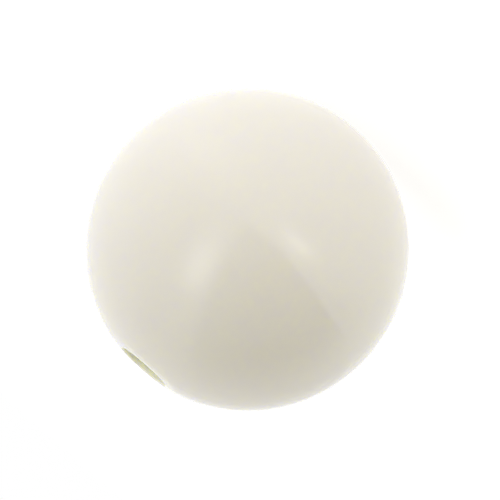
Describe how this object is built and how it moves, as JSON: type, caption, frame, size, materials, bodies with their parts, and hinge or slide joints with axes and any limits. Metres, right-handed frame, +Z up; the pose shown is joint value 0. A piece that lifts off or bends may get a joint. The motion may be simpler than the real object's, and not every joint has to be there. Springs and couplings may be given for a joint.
{
  "type": "resin bead",
  "caption": "Round glossy ivory resin bead with a straight bore through its centre and rounded mouths, for threading on a cord.",
  "frame": {"origin": "the ball's centre, half way along the bore's axis", "axes": "+Z up along the bore's axis, with the bead standing on the rounded rim of its lower mouth; it is round about Z, so X and Y are any two level directions"},
  "size_m": [0.016, 0.016, 0.0158],
  "materials": {
    "ivory_resin": "polished gloss"
  },
  "bodies": {
    "root": {"bead": "ivory_resin"}
  },
  "joints": []
}
